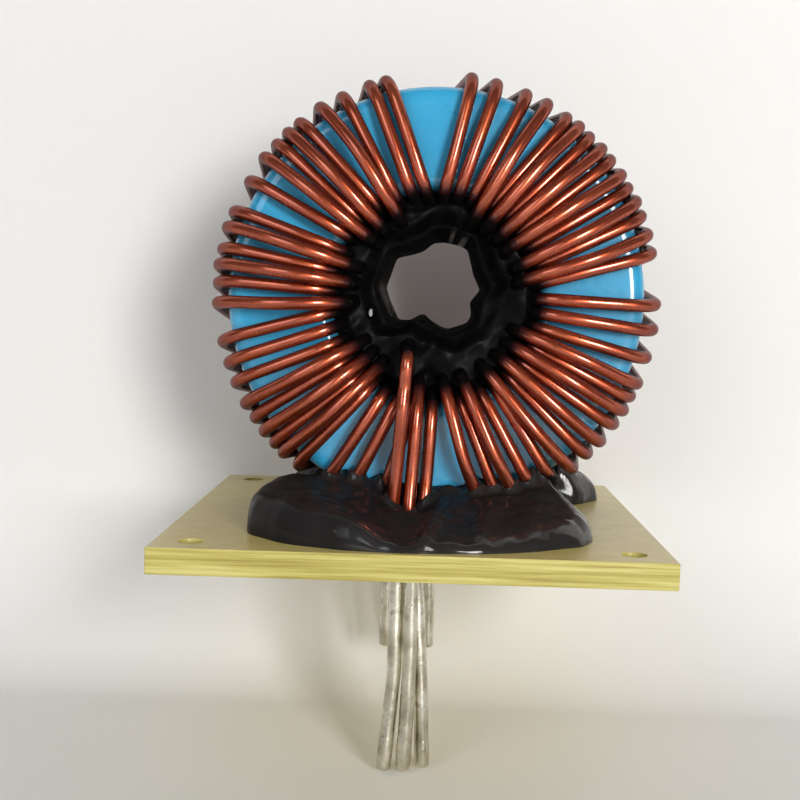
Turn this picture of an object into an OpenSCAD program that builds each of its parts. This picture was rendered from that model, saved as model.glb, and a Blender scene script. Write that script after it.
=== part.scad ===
// Toroidal inductor standing on edge on a glass-epoxy board.
// Three enamelled strands run side by side, twenty times through the core.
// The origin is the centre of the board's underside, +Z is up, and the
// ring's axis lies along Y, so that clock angles below are seen from -Y.

/* [Core] */
// Outer diameter of the coated powder core
core_od = 47.6; // [45:0.1:48]
// Bore diameter of the coated core
core_bore_d = 23.6; // [23.6:0.1:25]
// Height of the core along its axis
core_h = 18.6; // [16:0.1:20]
// Radius of the core's rounded edges
core_edge_r = 1.3; // [0.9:0.1:1.5]

/* [Strands] */
// Diameter of one enamelled strand
wire_d = 1.45; // [1.2:0.05:1.45]
// Diameter of a strand's tinned end
tinned_d = 1.62; // [1.5:0.02:1.64]
// Clearance between the core's faces and the first layer
face_gap = 0.15; // [0.1:0.05:0.3]
// Clearance between the core's bore and the first layer
bore_gap = 0.1; // [0.05:0.05:0.2]
// Distance that the strands bow out from the core's outside
rim_gap = 0.6; // [0.5:0.05:1.2]
// Clearance between the two layers
layer_gap = 0.06; // [0.04:0.01:0.1]
// Least clearance between strands that lie side by side
side_gap = 0.03; // [0.01:0.01:0.06]
// Bend radius of a strand at the outer rim
rim_bend = 2.4; // [2:0.1:2.6]
// Bend radius of a strand at the mouth of the bore
bore_bend = 1.2; // [1:0.05:1.3]
// Length of the slope from the second layer down to the rim
slope_len = 6.2; // [5.5:0.1:7.5]
// Turn in degrees of a strand on its way back through the bore
bore_lean = 7; // [6:0.5:8]
// Turn in degrees of a strand on its way forward over the rim
rim_lean = 6; // [5.5:0.5:7]

/* [Leads] */
// Length of the front leads below the board
front_lead_len = 24.5; // [15:0.5:30]
// Length of the rear leads below the board
rear_lead_len = 17.5; // [12:0.5:25]
// Bend radius of a lead
lead_bend = 3; // [2:0.1:3.5]
// Depth below the board at which the front leads start to spread
front_spread = 14; // [10:0.5:14.5]
// Depth below the board at which the rear leads hang straight again
rear_spread = 9; // [7:0.5:10]

/* [Board] */
// Side of the square board
board_w = 54; // [54:0.5:60]
// Thickness of the board
board_t = 2.8; // [1.6:0.1:3.2]
// Diameter of the corner screw holes
screw_hole_d = 2.7; // [2.2:0.1:3.2]
// Distance from a screw hole's centre to the board's edges
screw_inset = 4; // [3:0.5:5]
// Clearance between a bundle of leads and its hole
lead_hole_gap = 0.05; // [0.05:0.05:0.4]
// Distance of the lead holes to the left of the ring's axis
lead_hole_left = 2.4; // [2:0.1:2.6]
// Distance of the lead holes in front of and behind the first layer
lead_hole_out = 1.85; // [1.75:0.05:2.2]

/* [Placing] */
// Distance of the ring's axis to the right of the board's centre
ring_x = 1.8; // [0:0.05:3]
// Clearance under the winding
ring_lift = 0.2; // [0.2:0.1:1.5]

/* [Resin] */
// Height of the potting resin in front of and behind the ring, at its middle
mound_h = 2.2; // [1.8:0.1:3]
// How much higher the resin climbs at the ends of each mound
mound_climb = 6; // [2:0.5:7]
// Depth of each mound, from its middle to its foot
mound_reach = 11.4; // [9:0.1:11.5]
// Share of its height that the front mound loses towards the front and the right
mound_fall = 0.9; // [0:0.05:1]
// Clearance between the resin and what it holds
seat_gap = 0.12; // [0.08:0.02:0.2]

/* [Hidden] */
$fn = 96;

// Winding plan, by turn and strand. Clock degrees at which each strand
// passes over the outer rim at the front, nineteen times.
rim_deg = [
    [194, 202.5, 209.5], [218.5, 223.5, 227], [231, 235.5, 240], [246, 251.5, 257.5],
    [267.5, 273, 277.5], [282, 287.5, 292], [301, 308, 313], [317, 321, 327.5],
    [334, 341.5, 346], [368.5, 375, 383], [389, 395, 399], [403, 407, 411],
    [415.5, 419.5, 423.5], [427.5, 432.5, 437.5], [451, 457.5, 465], [472, 476, 480],
    [484.5, 490, 495], [500, 506, 511.5], [516.5, 521, 525.5]
];
// Clock degrees at which each strand enters the bore at the front, twenty times.
bore_deg = [
    [179.5, 189.5, 206], [189, 198, 206], [214, 217.5, 222], [227, 233, 237.5],
    [243.5, 252.5, 261], [265, 272.5, 278], [283.5, 289.5, 295], [304, 310, 314],
    [320.5, 327, 334], [337, 346, 354.5], [362.5, 370.5, 378.5], [384.5, 389, 394],
    [399.5, 404.5, 410], [414.5, 420.5, 428], [431.5, 438, 441], [449, 457, 465],
    [470.5, 475.5, 480.5], [486, 491.5, 496], [504, 505, 513.5], [520, 525.5, 533]
];
// Layer on which each strand passes the bore: 0 lies on the core, 1 on top of it,
// and the strand of the left front lead runs deeper, through the resin.
layer = [
    [0, 1, 3], [0, 0, 0], [0, 1, 0], [1, 0, 1], [0, 0, 0], [1, 0, 1], [0, 1, 0],
    [0, 1, 0], [1, 0, 1], [0, 0, 0], [0, 0, 0], [1, 0, 1], [0, 1, 0], [1, 0, 1],
    [0, 1, 0], [0, 0, 0], [1, 0, 1], [0, 1, 0], [1, 0, 0], [1, 0, 1]
];
turns = len(bore_deg);
strands = 3;

// Places that the sizes above give
wire_r = wire_d / 2;
layer_step = wire_d + layer_gap;
rim_r = core_od / 2 + rim_gap + wire_r;
bore_r = core_bore_d / 2 - bore_gap - wire_r;
crest_r = rim_r - slope_len;
face_y = core_h / 2 + face_gap + wire_r;
wound_r = rim_r + wire_r;
ring_z = board_t + ring_lift + wound_r;
lead_hole_x = ring_x - lead_hole_left;
lead_hole_y = face_y + lead_hole_out;

// Places of the strands a, b and c in the lead holes, seen from the hole's centre
// and in diameters of the thicker of strand and tinned end
lead_d = max(tinned_d, wire_d);
front_bundle = [[0.6, -0.55], [0.37, 0.49], [-0.7, 0.18]] * lead_d;
rear_bundle = [[0.53, 0.31], [0, -0.59], [-0.53, 0.31]] * lead_d;
// Sideways places of the strands below the board, in the same way
front_fan = [[1.14, -0.1], [0.37, 0.77], [-0.68, 0.56]] * lead_d;
front_tips = [[1.45, 0.37], [0.09, 1.17], [-1.27, 1.17]] * lead_d;
rear_fan = [[1.64, 0.12], [0, 0.18], [-1.79, 0.12]] * lead_d;
// Places at which the leads pass the rim, to the left of the ring's axis
front_rim_left = [0.52, 1.66, 2.9] * wire_d;
rear_rim_left = [0.14, 0.7, 1.55] * wire_d;
// How far inside the rim's bends the leads turn down to the board
front_rim_in = 0.6;
rear_rim_in = 1.6;
// Depth below the board at which the leads turn, and at which their tinning starts
lead_drop = 1;
tin_start = 0.5;
// Depth in layers at which the leads pass the rim
front_rim_layer = [0.15, 1.1, 1.1];
rear_rim_layer = [1.1, 0.2, 1.1];

// Outline of the free opening through the bore resin, X and Z from the ring's axis
opening = [
    [-5.7, 0.7], [-4.5, 3.5], [-4.5, 4.3], [-2.3, 4.8], [-0.7, 6], [1.3, 5.3],
    [3.75, 4.9], [4.6, 1.5], [5.5, 0.3], [4.2, -1.7], [3.6, -3.6], [1.3, -4],
    [-1.8, -2.6], [-2.7, -3.1], [-4.4, -3.2]
];
bore_resin_out = 1.3;
bore_resin_half = core_h / 2 + bore_resin_out;
bore_resin_lip = 1.2;

// Reach of the mounds to the left and the right of their middles, and the place
// of the middles: the front one lies a little to the left of the ring's axis
front_mound_w = [16, 22];
rear_mound_w = [19, 22.5];
mound_shift = 3.3;
mound_out = 4.6;
// Share of the reach to the left at which the front mound starts to fall
fall_from = 0.35;
// Bed of resin under the ring
bed_w = 22;
bed_h = 1.6;
// The resin stays this far clear of the second layer's crest
seat_over = 1;

// Sides of a strand's section, which turns so that flats meet the neighbours
wire_sides = 8;
// A polygon's corners stand out a little, so that it holds the round wire's metal
corner_grow = 1.04;
tip_chamfer = 0.35;
bundle_r = max([for (place = concat(front_bundle, rear_bundle)) norm(place)]);
lead_hole_d = 2 * (bundle_r + lead_d / 2 * corner_grow + lead_hole_gap);
// Tools for cuts reach this far past what they cut
cut_over = 2;

function unit(v) = v / norm(v);

// Least angle between two strands side by side at radius r
function pitch(r) = 2 * asin((wire_d + side_gap) / (2 * r));

// Least angle between two strands at the rim, where one may come down the slope
// beside the other and is nearest to it partway
near = wire_d * corner_grow + side_gap;
slope = layer_step / slope_len;
rim_pitch = 180 / PI * near * slope / sqrt(pow(rim_r * slope, 2) - near * near);

// Clock degrees of the strands over the rim, one after another: each keeps its
// place in the plan, or moves on until it clears the strand before it
function spaced_rim(i = 0, last = 0) =
    i == strands * (turns - 1) ? [] :
    let (a = max(rim_deg[floor(i / strands)][i % strands], last + rim_pitch))
    concat([a], spaced_rim(i + 1, a));

// The same in the bore, where each layer has its own last strand
function spaced_bore(i = 0, low = 0, high = 0) =
    i == strands * turns ? [] :
    let (
        k = floor(i / strands),
        up = layer[k][i % strands],
        last = up == 0 ? low : high,
        a = max(bore_deg[k][i % strands], last + pitch(bore_r - up * layer_step))
    )
    concat([a], spaced_bore(i + 1, up == 0 ? a : low, up == 0 ? high : a));

rim_list = spaced_rim();
bore_list = spaced_bore();
function rim_at(s, k) = rim_list[strands * k + s];
function bore_at(s, k) = bore_list[strands * k + s];

// Point at radius r, clock angle a and depth y from the ring's centre
function on_ring(r, a, y) = [ring_x + r * sin(a), y, ring_z + r * cos(a)];

// Direction along the ring's circumference at a point
function around(p) = unit([p[2] - ring_z, 0, ring_x - p[0]]);

// Stations of a rounded corner at p between a and b: each is [place, direction]
function corner(a, p, b, r, steps) =
    let (
        come = unit(p - a),
        go = unit(b - p),
        turn = acos(max(-1, min(1, come * go))),
        side = unit(go - come * (come * go)),
        middle = p - come * r * tan(turn / 2) + side * r
    )
    steps == 1 ? [[p, unit(come + go)]] :
    [for (k = [0 : steps - 1])
        let (w = turn * k / (steps - 1))
        [middle + r * (come * sin(w) - side * cos(w)), come * cos(w) + side * sin(w)]
    ];

// Corner of a second-layer run, between the rim and the bore
function crest(rim_angle, bore_angle, far_r, depth, side) =
    let (share = (rim_r - crest_r) / (rim_r - far_r))
    [on_ring(crest_r, rim_angle + (bore_angle - rim_angle) * share, side * depth), 1, 1];

// Corners of one pass through the bore, from front to rear: [place, bend, steps]
function bore_pass(s, k) =
    let (
        up = layer[k][s],
        r = bore_r - up * layer_step,
        y = face_y + up * layer_step
    )
    [
        [on_ring(r, bore_at(s, k), -y), bore_bend, 2],
        [on_ring(r, bore_at(s, k) + bore_lean, y), bore_bend, 2]
    ];

// Corners of one pass over the rim, from rear to front
function rim_pass(s, k) =
    let (
        from_up = layer[k - 1][s],
        to_up = layer[k][s],
        front_deg = rim_at(s, k - 1),
        rear_deg = front_deg - rim_lean,
        from_deg = bore_at(s, k - 1) + bore_lean
    )
    concat(
        from_up == 0 ? [] :
            [crest(rear_deg, from_deg, bore_r - layer_step, face_y + layer_step, 1)],
        [
            [on_ring(rim_r, rear_deg, face_y), rim_bend, 3],
            [on_ring(rim_r, front_deg, -face_y), rim_bend, 3]
        ],
        to_up == 0 ? [] :
            [crest(front_deg, bore_at(s, k), bore_r - layer_step, face_y + layer_step, -1)]
    );

// Place of a lead in or under the board: the hole's centre plus an offset
function under(offset, side, z) =
    [lead_hole_x + offset[0], side * (lead_hole_y + offset[1]), z];

// Place where a lead passes the rim, on the front or the rear face
function lead_rim(s, side) =
    let (
        r = rim_r - (side < 0 ? front_rim_in : rear_rim_in),
        left = (side < 0 ? front_rim_left : rear_rim_left)[s],
        level = (side < 0 ? front_rim_layer : rear_rim_layer)[s]
    )
    on_ring(r, 180 + asin(left / r), side * (face_y + level * layer_step));

// Corners of the front leads, from the tip up to the bore
function front_lead(s) = [
    [under(front_tips[s], -1, -front_lead_len), 0, 0],
    [under(front_fan[s], -1, -front_spread), lead_bend * 3, 2],
    [under(front_bundle[s], -1, -lead_drop), lead_bend, 2],
    [under(front_bundle[s], -1, board_t), lead_bend / 2, 2],
    [lead_rim(s, -1), lead_bend / 2, 2]
];

// Corners of the rear leads, from the bore down to the tip
function rear_lead(s) = [
    [lead_rim(s, 1), lead_bend / 2, 2],
    [under(rear_bundle[s], 1, board_t), lead_bend / 2, 2],
    [under(rear_bundle[s], 1, -lead_drop), lead_bend, 2],
    [under(rear_fan[s], 1, -rear_spread), lead_bend, 2],
    [under(rear_fan[s], 1, -rear_lead_len), 0, 0]
];

// All corners of a strand, from the front lead's tip to the rear lead's tip
function route(s) = concat(
    front_lead(s),
    bore_pass(s, 0),
    [for (k = [1 : turns - 1]) each concat(rim_pass(s, k), bore_pass(s, k))],
    rear_lead(s)
);

// Stations along a route, with the two tips as chamfered ends
function stations(way) =
    let (
        n = len(way),
        first = unit(way[1][0] - way[0][0]),
        last = unit(way[n - 1][0] - way[n - 2][0])
    )
    concat(
        [[way[0][0], first], [way[0][0] + first * tip_chamfer, first]],
        [for (i = [1 : n - 2])
            each corner(way[i - 1][0], way[i][0], way[i + 1][0], way[i][1], way[i][2])],
        [[way[n - 1][0] - last * tip_chamfer, last], [way[n - 1][0], last]]
    );

// Radius of the section at station i: a tip is chamfered, and below the board
// the strand is tinned
function section_r(line, i) =
    corner_grow * (
        i == 0 || i == len(line) - 1 ? tinned_d / 2 - tip_chamfer / 2 :
        line[i][0][2] < -tin_start ? tinned_d / 2 : wire_r
    );

// Corners of the section at a station
function ring_points(station, r) =
    let (
        along = station[1],
        out = around(station[0]),
        u = unit(out - along * (along * out)),
        v = cross(along, u)
    )
    [for (k = [0 : wire_sides - 1])
        let (w = (k + 0.5) * 360 / wire_sides)
        station[0] + r * (u * cos(w) + v * sin(w))
    ];

// A strand, swept along its stations
module strand(s) {
    line = stations(route(s));
    n = len(line);
    last = (n - 1) * wire_sides;
    points = [for (i = [0 : n - 1]) each ring_points(line[i], section_r(line, i))];
    skin = [for (i = [0 : n - 2], k = [0 : wire_sides - 1])
        let (
            a = i * wire_sides + k,
            b = i * wire_sides + (k + 1) % wire_sides
        )
        each [[a, b + wire_sides, b], [a, a + wire_sides, b + wire_sides]]
    ];
    start_cap = [[for (k = [0 : wire_sides - 1]) k]];
    end_cap = [[for (k = [0 : wire_sides - 1]) last + wire_sides - 1 - k]];
    color("sienna") polyhedron(points, concat(skin, start_cap, end_cap), convexity = 20);
}

// The ring's axis lies along Y, and its first direction along X
module on_axis() {
    translate([ring_x, 0, ring_z]) rotate([90, 0, 0]) children();
}

// Coated powder core: one ring with rounded edges
module core() {
    wall = (core_od - core_bore_d) / 2;
    r = core_edge_r;
    color("deepskyblue") on_axis() rotate_extrude()
        translate([core_bore_d / 2, -core_h / 2]) {
            translate([r, 0]) square([wall - 2 * r, core_h]);
            translate([0, r]) square([wall, core_h - 2 * r]);
            for (x = [r, wall - r], y = [r, core_h - r])
                translate([x, y]) circle(r);
        }
}

module strand_a() { strand(0); }
module strand_b() { strand(1); }
module strand_c() { strand(2); }

// Board with four screw holes and a hole for each bundle of leads
module base_board() {
    far = board_w / 2 - screw_inset;
    color("khaki") difference() {
        translate([-board_w / 2, -board_w / 2, 0]) cube([board_w, board_w, board_t]);
        for (x = [-far, far], y = [-far, far])
            translate([x, y, -cut_over])
                cylinder(d = screw_hole_d, h = board_t + 2 * cut_over);
        for (side = [-1, 1])
            translate([lead_hole_x, side * lead_hole_y, -cut_over])
                cylinder(d = lead_hole_d, h = board_t + 2 * cut_over);
    }
}

// Height of a mound over the board: share is the way from its middle to its foot,
// end is -1 or 1 at its two ends, front is 1 at its front, and fall is the share of
// its height that it loses towards the front and the right
function mound_z(share, end, front, fall) =
    (mound_h + mound_climb * end * end) * sqrt(1 - pow(share, 10))
    * (1 - fall * max(0, front) * max(0, end + fall_from));

// A mound of resin around its middle, with its own reach to the left and right
module mound(left, right, reach, fall) {
    sides = 28;
    shares = [1, 0.985, 0.95, 0.85, 0.6, 0.3];
    rows = len(shares);
    place = function (share, w)
        let (wide = cos(w) < 0 ? left : right)
        [share * wide * cos(w), share * reach * sin(w),
            mound_z(share, share * cos(w), -share * sin(w), fall)];
    points = concat(
        [for (share = shares, k = [0 : sides - 1]) place(share, k * 360 / sides)],
        [[0, 0, mound_h]]
    );
    skin = [for (i = [0 : rows - 2], k = [0 : sides - 1])
        let (a = i * sides + k, b = i * sides + (k + 1) % sides)
        each [[a, a + sides, b + sides], [a, b + sides, b]]
    ];
    crown = [for (k = [0 : sides - 1])
        [(rows - 1) * sides + k, rows * sides, (rows - 1) * sides + (k + 1) % sides]];
    foot = [[for (k = [0 : sides - 1]) k]];
    polyhedron(points, concat(skin, crown, foot), convexity = 4);
}

// Space of the wound ring near the board, as a lathe form
module winding_space() {
    deep = face_y + wire_r + seat_gap;
    reach = wound_r + seat_gap;
    on_axis() rotate_extrude()
        polygon([
            [0, -deep - layer_step], [crest_r + seat_over, -deep - layer_step],
            [rim_r, -deep], [reach, -deep + rim_bend],
            [reach, deep - rim_bend], [rim_r, deep],
            [crest_r + seat_over, deep + layer_step], [0, deep + layer_step]
        ]);
}

// Channel for a straight stretch of a strand, past both of its ends
module strand_channel(from, to) {
    along = to - from;
    lean = acos(along[2] / norm(along));
    turn = atan2(along[1], along[0]);
    translate(from - unit(along) * cut_over) rotate([0, lean, turn])
        cylinder(r = wire_r * corner_grow + seat_gap, h = norm(along) + 2 * cut_over, $fn = 32);
}

// Pocket around a bundle of leads, open towards the ring's face
module lead_pocket(side) {
    hull() for (s = [0 : strands - 1]) {
        rim = lead_rim(s, side);
        hole = under(side < 0 ? front_bundle[s] : rear_bundle[s], side, board_t);
        strand_channel(rim, hole);
        strand_channel([rim[0], side * face_y, rim[2]], [hole[0], side * face_y, hole[2]]);
    }
}

// Potting resin: a mound in front, one behind, and the bed under the ring
module base_resin() {
    color("#1c1a1c") difference() {
        translate([0, 0, board_t]) {
            translate([ring_x - mound_shift, -face_y - mound_out, 0])
                mound(front_mound_w[0], front_mound_w[1], mound_reach, mound_fall);
            translate([ring_x, face_y + mound_out, 0])
                mound(rear_mound_w[0], rear_mound_w[1], mound_reach, 0);
            translate([ring_x - bed_w / 2, -face_y, 0]) cube([bed_w, 2 * face_y, bed_h]);
        }
        winding_space();
        for (side = [-1, 1])
            lead_pocket(side);
    }
}

// Resin that lines the bore inside the second layer, with an uneven opening
module bore_resin() {
    outer = bore_r - layer_step - wire_r * corner_grow - seat_gap;
    color("#1c1a1c") difference() {
        on_axis() rotate_extrude()
            polygon([
                [0, -bore_resin_half], [outer - bore_resin_lip, -bore_resin_half],
                [outer, bore_resin_lip - bore_resin_half], [outer, bore_resin_half - bore_resin_lip],
                [outer - bore_resin_lip, bore_resin_half], [0, bore_resin_half]
            ]);
        translate([ring_x, bore_resin_half + cut_over, ring_z]) rotate([90, 0, 0])
            linear_extrude(2 * (bore_resin_half + cut_over)) polygon(opening);
        for (s = [0 : strands - 1], k = [0 : turns - 1])
            if (layer[k][s] > 1)
                strand_channel(bore_pass(s, k)[0][0], bore_pass(s, k)[1][0]);
    }
}

core();
strand_a();
strand_b();
strand_c();
base_board();
base_resin();
bore_resin();
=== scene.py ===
"""Looks of a toroidal inductor: three enamelled strands wound in two layers round a blue
powder core, which stands in black potting resin on a glass-epoxy board.

Lengths are worked out in millimetres in the part's own frame and put into meshes in metres.
The ring's axis runs along Y, and clock angles are seen from the front, -Y.
"""
import math

import bpy
import bmesh
import numpy as np
from mathutils import Matrix


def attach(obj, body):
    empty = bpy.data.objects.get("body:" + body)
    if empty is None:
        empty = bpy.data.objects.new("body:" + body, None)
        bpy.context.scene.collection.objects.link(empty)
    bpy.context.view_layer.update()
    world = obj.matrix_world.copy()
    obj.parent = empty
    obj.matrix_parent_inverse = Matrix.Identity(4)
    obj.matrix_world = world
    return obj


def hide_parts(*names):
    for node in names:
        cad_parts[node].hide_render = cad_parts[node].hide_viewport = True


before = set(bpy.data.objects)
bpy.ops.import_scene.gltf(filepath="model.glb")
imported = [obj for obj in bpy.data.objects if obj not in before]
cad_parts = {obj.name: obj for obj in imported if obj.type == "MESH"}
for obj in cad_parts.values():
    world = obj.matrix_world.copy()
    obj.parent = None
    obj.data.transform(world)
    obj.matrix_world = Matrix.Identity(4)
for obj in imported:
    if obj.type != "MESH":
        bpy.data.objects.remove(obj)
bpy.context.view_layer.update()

MM = 0.001

# Sizes of the part
CORE_OD, CORE_BORE_D, CORE_H, CORE_EDGE_R = 47.6, 23.6, 18.6, 1.3
WIRE_D, TINNED_D = 1.45, 1.62
FACE_GAP, BORE_GAP, RIM_GAP, LAYER_GAP, SIDE_GAP = 0.15, 0.1, 0.6, 0.06, 0.03
SLOPE_LEN, BORE_LEAN, RIM_LEAN = 6.2, 7.0, 6.0
FRONT_LEAD_LEN, REAR_LEAD_LEN, FRONT_SPREAD, REAR_SPREAD, LEAD_DROP = 24.5, 17.5, 14.0, 9.0, 1.0
BOARD_W, BOARD_T, SCREW_INSET = 54.0, 2.8, 4.0
RING_X, RING_LIFT, LEAD_HOLE_LEFT, LEAD_HOLE_OUT = 1.8, 0.2, 2.4, 1.85
MOUND_REACH, MOUND_OUT, MOUND_SHIFT = 11.4, 4.6, 3.3

WIRE_R = WIRE_D / 2
LAYER_STEP = WIRE_D + LAYER_GAP
RIM_R = CORE_OD / 2 + RIM_GAP + WIRE_R
BORE_R = CORE_BORE_D / 2 - BORE_GAP - WIRE_R
CREST_R = RIM_R - SLOPE_LEN
FACE_Y = CORE_H / 2 + FACE_GAP + WIRE_R
RING_Z = BOARD_T + RING_LIFT + RIM_R + WIRE_R
HOLE_X, HOLE_Y = RING_X - LEAD_HOLE_LEFT, FACE_Y + LEAD_HOLE_OUT

# Winding plan: clock degrees over the rim and into the bore, and the layer in the bore
RIM_DEG = np.array([
    [194, 202.5, 209.5], [218.5, 223.5, 227], [231, 235.5, 240], [246, 251.5, 257.5],
    [267.5, 273, 277.5], [282, 287.5, 292], [301, 308, 313], [317, 321, 327.5],
    [334, 341.5, 346], [368.5, 375, 383], [389, 395, 399], [403, 407, 411],
    [415.5, 419.5, 423.5], [427.5, 432.5, 437.5], [451, 457.5, 465], [472, 476, 480],
    [484.5, 490, 495], [500, 506, 511.5], [516.5, 521, 525.5]])
BORE_DEG = np.array([
    [179.5, 189.5, 206], [189, 198, 206], [214, 217.5, 222], [227, 233, 237.5],
    [243.5, 252.5, 261], [265, 272.5, 278], [283.5, 289.5, 295], [304, 310, 314],
    [320.5, 327, 334], [337, 346, 354.5], [362.5, 370.5, 378.5], [384.5, 389, 394],
    [399.5, 404.5, 410], [414.5, 420.5, 428], [431.5, 438, 441], [449, 457, 465],
    [470.5, 475.5, 480.5], [486, 491.5, 496], [504, 505, 513.5], [520, 525.5, 533]])
LAYER = np.array([
    [0, 1, 3], [0, 0, 0], [0, 1, 0], [1, 0, 1], [0, 0, 0], [1, 0, 1], [0, 1, 0],
    [0, 1, 0], [1, 0, 1], [0, 0, 0], [0, 0, 0], [1, 0, 1], [0, 1, 0], [1, 0, 1],
    [0, 1, 0], [0, 0, 0], [1, 0, 1], [0, 1, 0], [1, 0, 0], [1, 0, 1]])
TURNS = len(BORE_DEG)

# Places of the strands in and under the board, and where the leads pass the rim
FRONT_BUNDLE = np.array([[0.6, -0.55], [0.37, 0.49], [-0.7, 0.18]]) * TINNED_D
REAR_BUNDLE = np.array([[0.53, 0.31], [0, -0.59], [-0.53, 0.31]]) * TINNED_D
FRONT_FAN = np.array([[1.14, -0.1], [0.37, 0.77], [-0.68, 0.56]]) * TINNED_D
FRONT_TIPS = np.array([[1.45, 0.37], [0.09, 1.17], [-1.27, 1.17]]) * TINNED_D
REAR_FAN = np.array([[1.64, 0.12], [0, 0.18], [-1.79, 0.12]]) * TINNED_D
FRONT_RIM_LEFT = np.array([0.52, 1.66, 2.9]) * WIRE_D
REAR_RIM_LEFT = np.array([0.14, 0.7, 1.55]) * WIRE_D
FRONT_RIM_IN, REAR_RIM_IN = 0.6, 1.6
FRONT_RIM_LAYER, REAR_RIM_LAYER = (0.15, 1.1, 1.1), (1.1, 0.2, 1.1)

# Throat of the opening through the bore resin, X and Z from the ring's axis
THROAT = np.array([
    [-6.1, 1.1], [-5.6, -0.4], [-4.5, -2.8], [-2.8, -2.8], [-2.1, -2.1], [-1.2, -2.0], [0.7, -3.3],
    [1.6, -3.6], [3.8, -2.8], [4.3, -2.0], [4.3, -0.4], [5.5, 1.1], [4.4, 3.0], [3.8, 6.0],
    [2.6, 6.6], [0.9, 7.0], [-0.4, 6.9], [-1.6, 5.8], [-2.8, 5.3], [-4.8, 4.8], [-5.1, 4.0]])

# The real strands bend more softly than the solids and bow out from the core's faces
SOFT_BORE_BEND, SOFT_RIM_BEND, SOFT_CREST_BEND, SOFT_LEAD_BEND = 1.9, 2.7, 14.0, 4.0
BOW = 1.35
BOW_PEAK = 0.33
BOW_PEAK_LOW = 0.24
LOW_RIGHT, LOW_SPREAD = math.radians(150), math.radians(35)
LEAD_BULGE, LEAD_LEAN_TOP, LEAD_LEAN_LOW = 1.7, 20.0, 4.5
STATION_STEP = 0.45
WIRE_SIDES = 22


def smooth_step(low, high, x):
    """0 below low, 1 above high, and 3t^2 - 2t^3 between them."""
    t = np.clip((x - low) / (high - low), 0, 1)
    return t * t * (3 - 2 * t)


def waves(seed, coordinates, count, low, high):
    """Smooth unevenness between about -1 and 1: the mean of count sines of the coordinates, with
    random directions, phases and wave numbers from low to high, over the root of half the count."""
    rng = np.random.default_rng(seed)
    total = 0
    for _ in range(count):
        way = rng.normal(size=len(coordinates))
        way *= rng.uniform(low, high) / np.linalg.norm(way)
        total = total + np.sin(sum(k * c for k, c in zip(way, coordinates)) + rng.uniform(0, 2 * np.pi))
    return total / math.sqrt(count / 2) / 1.6


def on_ring(radius, clock, depth):
    """Points at radius x (sine, cosine) of the clock angle round the ring's axis, at a depth along it."""
    a = np.radians(clock)
    return np.stack(np.broadcast_arrays(RING_X + radius * np.sin(a), depth, RING_Z + radius * np.cos(a)), -1)


def spaced(plan, pitch):
    """Rising angles, each moved on where it comes closer than its pitch to the one before:
    the running sum of the pitches plus the running maximum of (plan - that sum)."""
    step = np.cumsum(np.broadcast_to(pitch, plan.shape))
    return step + np.maximum.accumulate(plan - step)


def winding_angles():
    """The plan's angles over the rim and in the bore, spaced so that the strands clear each other."""
    near = WIRE_D * 1.04 + SIDE_GAP
    slope = LAYER_STEP / SLOPE_LEN
    rim_pitch = math.degrees(near * slope / math.sqrt((RIM_R * slope) ** 2 - near ** 2))
    rim = spaced(RIM_DEG.ravel(), rim_pitch).reshape(-1, 3)
    bore, up = BORE_DEG.ravel().copy(), LAYER.ravel()
    pitch = 2 * np.degrees(np.arcsin((WIRE_D + SIDE_GAP) / (2 * (BORE_R - up * LAYER_STEP))))
    for chosen in (up == 0, up > 0):
        bore[chosen] = spaced(bore[chosen], pitch[chosen])
    return rim, bore.reshape(-1, 3)


def under(offset, side, z):
    """Place in or under the board: the lead hole's centre plus an offset, in front or behind."""
    return np.array([HOLE_X + offset[0], side * (HOLE_Y + offset[1]), z])


def lead_rim(s, side):
    """Place where a lead passes the rim, a little inside the rim's bends."""
    r = RIM_R - (FRONT_RIM_IN if side < 0 else REAR_RIM_IN)
    left = (FRONT_RIM_LEFT if side < 0 else REAR_RIM_LEFT)[s]
    level = (FRONT_RIM_LAYER if side < 0 else REAR_RIM_LAYER)[s]
    return on_ring(r, 180 + math.degrees(math.asin(left / r)), side * (FACE_Y + level * LAYER_STEP))


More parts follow.
